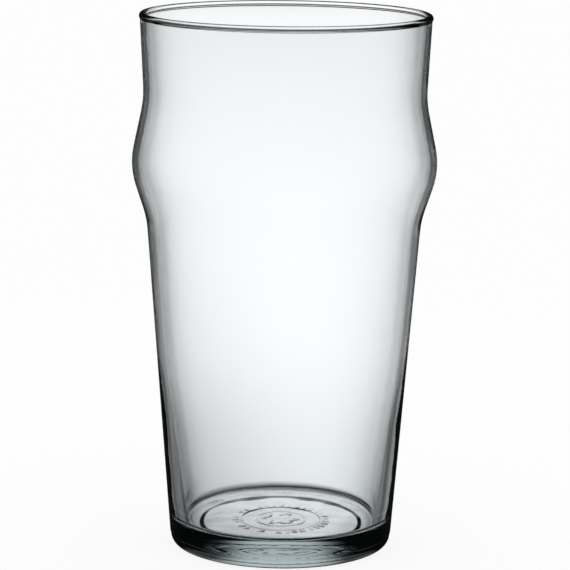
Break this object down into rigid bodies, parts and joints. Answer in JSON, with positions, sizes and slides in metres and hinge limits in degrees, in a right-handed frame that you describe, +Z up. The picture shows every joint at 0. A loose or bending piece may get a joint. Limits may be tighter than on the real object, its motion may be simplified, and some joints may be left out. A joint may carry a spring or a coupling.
{
  "type": "pint glass",
  "caption": "Tall clear beer glass: long tapered wall, soft bulge below a straight drinking rim, thick base with a narrow foot ring.",
  "frame": {"origin": "centre of the foot ring, in the plane that stands on the table", "axes": "+Z up along the glass's axis, from the foot to the mouth; +X and +Y are any two square directions, because the body is turned about +Z"},
  "size_m": [0.0862, 0.0862, 0.153],
  "materials": {
    "clear_glass": "clear, fire polished, faint green-grey tint in the thick base"
  },
  "bodies": {
    "root": {"glass_body": "clear_glass"}
  },
  "joints": []
}
